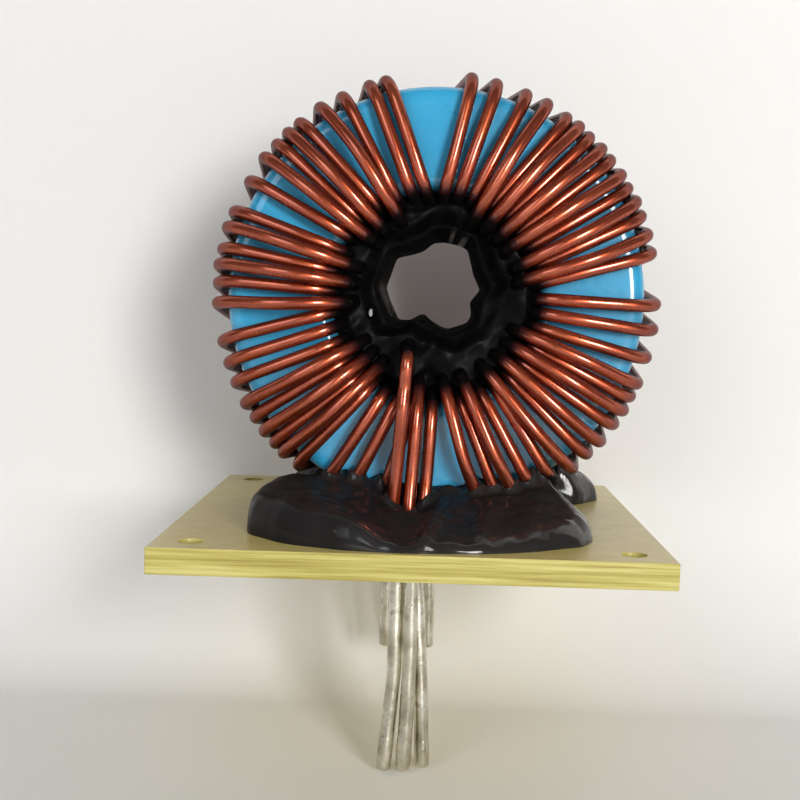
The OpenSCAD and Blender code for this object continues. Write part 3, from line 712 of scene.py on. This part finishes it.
def make_tinned(name, path, seed):
    """Tinned end along a path whose first point is the tip: radius x (1 + lumps), drawn in at the tip as
    r - c (1 - sqrt(1 - (1 - s / c)^2)) over the first length c, and tapered onto the enamel at the top."""
    path, s = evenly(path, 0.22)
    sides = 26
    w = np.linspace(0, 2 * np.pi, sides, endpoint=False)
    ss, ww = np.meshgrid(s, w, indexing="ij")
    lumps = 0.035 * waves(100 + seed, [1.1 * ss, np.cos(ww), np.sin(ww)], 9, 0.7, 2.2)
    run = 0.04 * np.exp(-((ss - 2.2 - 0.3 * (seed % 3)) / 1.3) ** 2)
    radius = TINNED_D / 2 * (0.985 + lumps + run)
    c = 0.5
    close = np.clip(1 - ss / c, 0, 1)
    radius = radius - c * (1 - np.sqrt(np.clip(1 - close ** 2, 0, 1)))
    radius = radius * smooth_step(-0.6, 0.35, s[-1] - ss) + 0.02
    piece = skin(name, tube_points(path, radius, sides))
    dress(piece, TINNED)
    return piece


def make_core(paths):
    """Coated core, a lathe form: the profile is a rounded rectangle, with the corners' radius a little
    larger than the solid's, turned round the ring's axis, with a slow swell of the coat. Near the strands
    its colour is darkened by exp(-(gap / 0.75)^2) as painted shade."""
    wall, r = (CORE_OD - CORE_BORE_D) / 2, CORE_EDGE_R + 0.25
    arc = np.linspace(0, np.pi / 2, 12)
    half = CORE_H / 2
    corners = [((wall - r, half - r), 0), ((r, half - r), np.pi / 2), ((r, r - half), np.pi), ((wall - r, r - half), 1.5 * np.pi)]
    loop = np.concatenate([np.stack([cx + r * np.cos(arc + start), cy + r * np.sin(arc + start)], 1)
                           for (cx, cy), start in corners])
    line, _ = evenly(np.column_stack([np.vstack([loop, loop[:1]]), np.zeros(len(loop) + 1)]), 0.55)
    line = line[:-1, :2]
    clock = np.linspace(0, 2 * np.pi, 320, endpoint=False)[:, None]
    radius, depth = CORE_BORE_D / 2 + line[None, :, 0], np.broadcast_to(line[None, :, 1], (320, len(line)))
    swell = 0.04 * waves(7, [np.broadcast_to(8 * np.sin(clock), depth.shape), np.broadcast_to(8 * np.cos(clock), depth.shape), depth], 7, 0.2, 0.8)
    points = np.stack([RING_X + (radius - 0.03) * np.sin(clock), depth + np.sign(depth) * (swell - 0.05) * (np.abs(depth) > half - r),
                       RING_Z + (radius - 0.03) * np.cos(clock)], -1)
    piece = skin("core_coated", points, closed_rows=True, flip=True)
    # Nearness to the strands, which the coat's material turns into painted shade.
    gap = nearest(points.reshape(-1, 3), np.vstack(paths), 3.0) - WIRE_R
    give(piece, "beside", np.exp(-(np.maximum(gap, 0) / 0.75) ** 2))
    dress(piece, COATING, stands_for=["core"])
    return piece


def make_board():
    """Board from its own solid: the solid's triangles are merged into flat faces, and its edges are eased."""
    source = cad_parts["base_board"]
    mesh = source.data.copy()
    mesh.name = "board_laminate"
    work = bmesh.new()
    work.from_mesh(mesh)
    bmesh.ops.remove_doubles(work, verts=work.verts, dist=1e-6)
    bmesh.ops.dissolve_limit(work, angle_limit=math.radians(1), verts=work.verts, edges=work.edges)
    bmesh.ops.recalc_face_normals(work, faces=work.faces)
    work.to_mesh(mesh)
    work.free()
    piece = bpy.data.objects.new("board_laminate", mesh)
    bpy.context.scene.collection.objects.link(piece)
    ease = piece.modifiers.new("eased_edges", "BEVEL")
    ease.width, ease.segments, ease.limit_method, ease.angle_limit = 0.14 * MM, 2, "ANGLE", math.radians(40)
    ease.harden_normals = False
    dress(piece, BOARD, stands_for=["base_board"])
    return piece


def nearest(points, line, reach):
    """Distance from each point to the nearest of a line's points, for those of them inside reach of the box."""
    low, high = points.min(0) - reach, points.max(0) + reach
    line = line[np.all((line > low) & (line < high), axis=1)]
    found = np.full(len(points), reach, float)
    for start in range(0, len(points), 4000):
        block = points[start:start + 4000]
        d = np.sqrt(((block[:, None] - line[None]) ** 2).sum(-1)).min(1)
        found[start:start + 4000] = np.minimum(d, reach)
    return found


def front_height(x, y):
    """Height of the front resin over the board before its foot rounds off. From the core's face it falls evenly
    to a lip, lip + (face - lip) (1 - d / 15.2), with d the way in front of the face. At the left it carries a
    shelf, round the leads it has a hollow that runs out forward, and drips stand at the lip."""
    d = np.maximum(0, -y - CORE_H / 2)
    face = 5.7 - 1.3 * np.exp(-((x - 2.8) / 5.0) ** 2) + 0.6 * smooth_step(11, 14.5, x)
    lip = 1.25 + 0.15 * waves(28, [x], 6, 0.8, 2.2)
    slope = lip + (face - lip) * np.clip(1 - d / 15.2, 0, 1) ** 1.05
    shelf = 4.35 - 0.10 * (x + 14) + (face - 4.3) * np.clip(1 - d / 9, 0, 1) ** 1.5
    left = 1 - smooth_step(-8.5, -2.5, x + 0.25 * (y + 20))
    height = slope + left * (np.maximum(shelf, slope) - slope)
    hollow = smooth_step(-9.8, -12.0, y) * (1 - smooth_step(-14, -18.5, y))
    height = height - 2.3 * hollow * np.exp(-((x + 0.7) / 2.4) ** 2)
    height = height + 1.5 * np.exp(-((x - 14) / 1.2) ** 2 - ((y + 10.3) / 0.9) ** 2)
    height = height + 0.7 * np.exp(-((x - 2.1 - 0.12 * (y + 20)) / 0.8) ** 2) * smooth_step(-15, -20, y)
    lens = 0.8 * np.exp(-((x - 3.8) / 1.5) ** 2 - ((y + 10.9) / 0.8) ** 2)
    lumps = 0.30 * waves(24, [x, y], 9, 0.3, 0.9) + 0.11 * waves(25, [x, y], 9, 1.2, 2.6)
    edge = 0.35 * waves(29, [x, 0.2 * y], 7, 1.0, 2.6) * np.exp(-(d / 0.9) ** 2)
    return np.maximum(height + lens + edge + lumps * smooth_step(-9.0, -12.0, y), 0.6)


def rear_height(x, y):
    """Height of the rear resin over the board, in the same way with one plain lip and reach."""
    d = np.maximum(0, y - CORE_H / 2)
    lip = 2.6 + 1.4 * smooth_step(6, 16, np.abs(x - 2))
    height = lip + (5.6 - lip) * np.exp(-(d / 4.5) ** 1.3)
    return height * (1 + 0.06 * waves(26, [x, y], 9, 0.35, 1.1)) + 0.10 * waves(27, [x, y], 9, 1.0, 2.2)


def make_mound(name, side, centre_x, left, right, height_of, wires):
    """Mound of potting resin over an ellipse: height x sqrt(1 - share^q), where share is the way from its
    middle to its foot, with q = 8 at its right, 13 along its front and 24 at its left. Under the core it stays below the core,
    and it creeps up each wire by c exp(-(gap / 0.36)^2), with c from 0.5 behind the wires to 1.05 in front."""
    columns, rows = 640, 120
    w = np.linspace(0, 2 * np.pi, columns, endpoint=False)[None, :]
    share = np.sin(np.linspace(1, 0, rows) * np.pi / 2)[:, None] ** 0.85
    foot = 1 + 0.011 * waves(20 + side, [3 * np.cos(w), 3 * np.sin(w)], 6, 0.8, 4)
    foot = foot + 0.006 * waves(22 + side, [3 * np.cos(w), 3 * np.sin(w)], 6, 4, 9) - 0.012
    outer = smooth_step(0.70, 0.90, side * np.sin(w))
    foot = foot + 0.0070 * outer * waves(16 + side, [3 * np.cos(w), 3 * np.sin(w)], 10, 9, 20)
    wide = np.where(np.cos(w) < 0, left, right)
    x = centre_x + foot * share * wide * np.cos(w)
    y = side * (FACE_Y + MOUND_OUT) + foot * share * MOUND_REACH * np.sin(w)
    height = height_of(x, y)
    behind = smooth_step(CORE_H / 2 - 0.1, CORE_H / 2 - 0.5, side * y)
    height = height + behind * (np.minimum(height, 1.8) - height)
    steep = 8 + 5 * np.sin(w) ** 2 + (16 * np.cos(w) ** 2 * (np.cos(w) < 0) if side < 0 else 0)
    height = height * np.sqrt(np.clip(1 - share ** steep, 0, 1))
    points = np.stack([x, y, BOARD_T + height], -1)[:-1]
    flat = points.reshape(-1, 3)
    gap = nearest(flat, wires, 1.8) - WIRE_R
    creep = 0.5 + 0.55 * smooth_step(FACE_Y - 0.6, FACE_Y + 0.6, side * flat[:, 1])
    creep = creep * np.exp(-(np.maximum(gap, 0) / 0.36) ** 2) * smooth_step(0.2, 0.9, flat[:, 2] - BOARD_T)
    lip = smooth_step(0.80, 0.93, np.broadcast_to(share, x.shape)[:-1].ravel()) * smooth_step(-8, -4, flat[:, 0])
    wet = np.maximum(0.9 * lip, np.exp(-(np.maximum(gap, 0) / 0.7) ** 2))
    open_top = smooth_step(0.6, 1.6, flat[:, 2] - BOARD_T) * (1 - behind[:-1]).ravel()
    ripple = (0.10 * wet - 0.06 * lip) * waves(30 + side, list(flat[:, :2].T), 14, 2.6, 5.2)
    flat[:, 2] += creep * (1 - behind[:-1]).ravel() + ripple * open_top
    piece = skin(name, flat.reshape(points.shape))
    give(piece, "wet", wet)
    return piece


def wire_tops(across, up, wires, radius):
    """For points of the ring's plane, how far out the wires' skins of the given radius reach there: the
    greatest of depth + sqrt(radius^2 - d^2), with d the distance in that plane from a wire's point."""
    found = np.full(across.shape, -50.0)
    flat_a, flat_u, flat_r, flat_f = across.ravel(), up.ravel(), radius.ravel(), found.ravel()
    order = np.argsort(np.arctan2(flat_u, flat_a))
    for part in np.array_split(order, 240):
        a, u, r = flat_a[part], flat_u[part], flat_r[part]
        near = (wires[:, 0] > a.min() - 1) & (wires[:, 0] < a.max() + 1)
        near &= (wires[:, 1] > u.min() - 1) & (wires[:, 1] < u.max() + 1)
        w = wires[near]
        if len(w):
            d2 = (a[:, None] - w[None, :, 0]) ** 2 + (u[:, None] - w[None, :, 1]) ** 2
            top = w[None, :, 2] + np.sqrt(np.maximum(r[:, None] ** 2 - d2, 0))
            flat_f[part] = np.where(d2 < r[:, None] ** 2, top, -50.0).max(1)
    return flat_f.reshape(across.shape)


def soft_max(a, b, k):
    """The greater of two heights with a fillet of width k where they meet: max + (k - |a - b|)^2 / 4k."""
    return np.maximum(a, b) + np.maximum(k - np.abs(a - b), 0) ** 2 / (4 * k)


def throat_at(phi):
    """Radius of the throat's outline at clock angles, read along its straight sides and slightly rounded."""
    outline = np.vstack([THROAT, THROAT[:1]])
    fine = np.concatenate([a + (b - a) * np.linspace(0, 1, 40, endpoint=False)[:, None]
                           for a, b in zip(outline[:-1], outline[1:])])
    angle = np.arctan2(fine[:, 0], fine[:, 1]) % (2 * np.pi)
    order = np.argsort(angle)
    dense = np.linspace(0, 2 * np.pi, 720, endpoint=False)
    edge = np.interp(dense, angle[order], np.hypot(*fine.T)[order], period=2 * np.pi)
    bell = np.exp(-0.5 * (np.arange(-15, 16) / 4.5) ** 2)
    edge = np.convolve(np.concatenate([edge[-15:], edge, edge[:15]]), bell / bell.sum(), "valid")
    return np.interp(phi, dense, edge, period=2 * np.pi)


# Where the resin in the bore's mouth ends on the strands and between them, as radii
DRAPE_IN, DRAPE_OUT, DRAPE_END = 8.8, 9.9, 12.4

# A flat wet drop left of the throat: its place from the ring's axis and its half width and height
DROP = (-7.3, -1.9, 0.36, 0.60)


def drop_at(across, up):
    """1 inside the wet drop's oval and 0 outside it."""
    a, u, wide, high = DROP
    return smooth_step(1.5, 0.9, np.hypot((across - a) / wide, (up - u) / high))


def mouth_height(phi, radius, lip, wires, seed):
    """How far out the resin in a mouth of the bore reaches, from the ring's middle: a level with a rounded lip
    at the opening that falls away between the strands, met softly by a film over the strands themselves,
    which thins from 0.12 outside them to 0.35 inside them on the way out."""
    sx, cx = np.sin(phi), np.cos(phi)
    wander = radius + 0.35 * waves(seed, [6 * sx + 0 * radius, 6 * cx + 0 * radius], 7, 0.5, 2.2)
    level = 9.3 + 0.4 * waves(seed + 1, [radius * sx, radius * cx], 9, 0.4, 1.5)
    level = level + 0.12 * waves(seed + 3, [radius * sx, radius * cx], 9, 1.5, 3.5)
    level = level - 1.5 * smooth_step(lip + 2.1, lip, radius)
    level = level - 0.6 * smooth_step(10.0, 11.2, wander) - 1.2 * smooth_step(11.0, DRAPE_END, radius)
    drop = drop_at(radius * sx, radius * cx)
    level = level + drop * (9.75 - 0.19 * (radius * sx - DROP[0]) - 0.09 * (radius * cx - DROP[1]) - level)
    film = WIRE_R + 0.12 - 0.5 * smooth_step(DRAPE_IN, DRAPE_OUT, wander)
    film = film + 0.03 * waves(seed + 2, [radius * sx, radius * cx], 8, 1, 3)
    tops = wire_tops(radius * sx, radius * cx, wires, np.maximum(film, 0.1))
    return soft_max(level, tops, 0.9)


def make_bore_resin(mouths):
    """Resin in the bore, carried round the ring's axis: each profile runs over the front mouth to the lip,
    through the throat, over the rear mouth, and back between the strands and the core. The wall is
    throat + 0.9 (1 - v / 0.65)^2 in front of the throat and throat + 0.6 ((v - 0.65) / 0.35)^2 behind it,
    with v the way through."""
    rows, across, deep = 620, 54, 26
    phi = np.linspace(0, 2 * np.pi, rows, endpoint=False)[:, None]
    throat = throat_at(phi)
    sides = []
    for lip, wires, seed in ((throat + 0.9, mouths[0], 300), (throat + 0.6, mouths[1], 310)):
        v = np.linspace(0, 1, across)[None, :]
        radius = lip + (DRAPE_END - lip) * v
        sides.append((radius, mouth_height(phi, radius, lip, wires, seed)))
    (front_r, front_h), (rear_r, rear_h) = sides
    v = np.linspace(0, 1, deep + 2)[None, 1:-1]
    wall = throat + np.where(v < 0.65, 0.9 * (1 - v / 0.65) ** 2, 0.6 * ((v - 0.65) / 0.35) ** 2)
    wall = wall + 0.22 * np.sin(np.pi * v) * waves(33, [3 * np.sin(phi) + 0 * v, 3 * np.cos(phi) + 0 * v, 5 * v + 0 * phi], 9, 0.6, 2.4)
    depth = -front_h[:, :1] + (front_h[:, :1] + rear_h[:, :1]) * v
    back = np.linspace(1, 0, 7)[None, 1:-1]
    back_y = rear_h[:, -1:] * back - front_h[:, -1:] * (1 - back)
    radius = np.hstack([front_r[:, ::-1], wall, rear_r, np.full_like(back_y, DRAPE_END)])
    y = np.hstack([-front_h[:, ::-1], depth, rear_h, back_y])
    points = np.stack([RING_X + radius * np.sin(phi), y, RING_Z + radius * np.cos(phi)], -1)
    piece = skin("bore_resin_lining", points, closed_rows=True)
    inner = np.zeros(points.shape[:2])
    inner[:, across - 3:across + deep + 3] = 1
    give(piece, "throat", inner.ravel())
    a, u = points[..., 0] - RING_X, points[..., 2] - RING_Z
    turn = np.degrees(np.arctan2(a, u)) % 360
    left_wall = 0.5 * smooth_step(240, 252, turn) * smooth_step(292, 278, turn)
    left_wall = left_wall * smooth_step(-6.5, -4.5, points[..., 1])
    top_wall = smooth_step(8, 14, turn) * smooth_step(40, 30, turn)
    streaks = smooth_step(0.1, 0.7, waves(35, [0.5 * turn, 0.05 * points[..., 1]], 6, 0.7, 2.0))
    wet = np.maximum(drop_at(a, u) * (points[..., 1] < 0), inner * (left_wall + 0.8 * top_wall * streaks))
    give(piece, "wet", wet.ravel())
    return piece


def mouth_wires(paths, side):
    """Strand points near a mouth of the bore: X and Z from the ring's axis and how far out they lie, read
    every 0.15 mm. The front lead that crosses the resin in the open counts only from its bend inward."""
    kept = []
    for s, path in enumerate(paths):
        fine, _ = evenly(path, 0.15)
        a, u, out = fine[:, 0] - RING_X, fine[:, 2] - RING_Z, side * fine[:, 1]
        r = np.hypot(a, u)
        near = (r < DRAPE_END + 1) & (out > 5)
        if s == 2:
            near[:np.argmax(r < OPEN_LEAD_R)] = False
        kept.append(np.stack([a, u, out], 1)[near])
    return np.vstack(kept)


def make_resin(paths):
    """Potting resin in front of, behind and under the ring, and the resin in the bore."""
    wires = np.vstack(paths)
    front = make_mound("front_resin", -1, RING_X - MOUND_SHIFT, 16.9, 21.7, front_height, wires)
    rear = make_mound("rear_resin", 1, RING_X, 19.0, 22.5, rear_height, wires)
    dress(front, RESIN, stands_for=["base_resin"])
    dress(rear, RESIN)
    bed_w, bed_h = 11.0, 1.6
    w = np.linspace(0, 2 * np.pi, 160, endpoint=False)[None, :]
    share = np.array([1, 0.99, 0.96, 0.88, 0.7, 0.45, 0.2])[:, None]
    box = np.abs(np.cos(w)) ** 8 + np.abs(np.sin(w)) ** 8
    x = RING_X + share * bed_w * np.cos(w) / box ** 0.125
    y = share * FACE_Y * np.sin(w) / box ** 0.125
    high = bed_h * np.sqrt(1 - share ** 12) * (1 + 0.06 * waves(41, [x, y], 8, 0.3, 1.2))
    bed = skin("bed_resin", np.stack([x, y, BOARD_T + high], -1))
    dress(bed, RESIN)
    lining = make_bore_resin([mouth_wires(paths, side) for side in (-1, 1)])
    dress(lining, BORE_RESIN, stands_for=["bore_resin"])


# Floor, backdrop and lights
FLOOR_Z = -FRONT_LEAD_LEN - 0.4
WALL_Y, COVE_R = 29.0, 20.0


def make_stage():
    """Pale floor that sweeps up into a wall behind the part through a quarter round of radius COVE_R, and a
    second floor that carries on behind the wall for the views from the back."""
    arc = np.linspace(0, np.pi / 2, 40)
    y = np.concatenate([[-1500], WALL_Y - COVE_R + COVE_R * np.sin(arc), [WALL_Y]])
    z = np.concatenate([[FLOOR_Z], FLOOR_Z + COVE_R - COVE_R * np.cos(arc), [1500]])
    x = np.array([-1500.0, 1500.0])
    places = np.stack([np.tile(x, len(y)), np.repeat(y, 2), np.repeat(z, 2)], 1)
    i = np.arange(len(y) - 1) * 2
    sweep = piece_from("floor_and_backdrop", places, np.stack([i, i + 1, i + 3, i + 2], 1), np.zeros((0, 3), int))
    places = np.array([[a, b, FLOOR_Z - 0.05] for b in (WALL_Y - COVE_R, 1500) for a in (-1500, 1500)], float)
    behind = piece_from("floor_behind", places, np.array([[0, 1, 3, 2]]), np.zeros((0, 3), int))
    paper = pale_material("pale_paper", (0.88, 0.873, 0.855), 0.01)
    for piece in (sweep, behind):
        piece.data.materials.append(paper)


def lamp(name, azimuth, elevation, distance, width, height, power, colour=(1, 1, 1)):
    """Area lamp at a distance from the ring's middle, in a direction to the right of the camera's side
    and above the level, facing the ring."""
    a, e = math.radians(azimuth), math.radians(elevation)
    way = np.array([math.sin(a) * math.cos(e), -math.cos(a) * math.cos(e), math.sin(e)])
    data = bpy.data.lights.new(name, "AREA")
    data.shape, data.size, data.size_y = "RECTANGLE", width * MM, height * MM
    data.energy, data.color = power, colour
    made = bpy.data.objects.new(name, data)
    bpy.context.scene.collection.objects.link(made)
    right = unit(np.cross([0, 0, 1], way))
    turn = Matrix([list(r) for r in np.stack([right, np.cross(way, right), way], 1)])
    middle = np.array([RING_X, 0, RING_Z - 8])
    made.matrix_world = Matrix.Translation([v * MM for v in middle + way * distance]) @ turn.to_4x4()


def light_scene():
    """Soft key lamp at the right, a broad weak fill at the left, a faint one behind, and an even world."""
    lamp("key", 22, 10, 520, 120, 160, 1.8, (1.0, 0.985, 0.96))
    lamp("fill", -28, 20, 620, 300, 300, 0.75, (0.95, 0.97, 1.0))
    lamp("rear", 155, 40, 600, 320, 320, 0.62, (0.97, 0.98, 1.0))
    world = bpy.data.worlds.new("studio")
    bpy.context.scene.world = world
    world.use_nodes = True
    tree = world.node_tree
    back = tree.nodes["Background"]
    back.inputs["Color"].default_value = (0.95, 0.975, 1.0, 1)
    back.inputs["Strength"].default_value = 0.15


strand_paths = make_strands()
make_core(strand_paths)
make_board()
make_resin(strand_paths)
make_stage()
light_scene()
bpy.context.scene.view_settings.view_transform = "Standard"
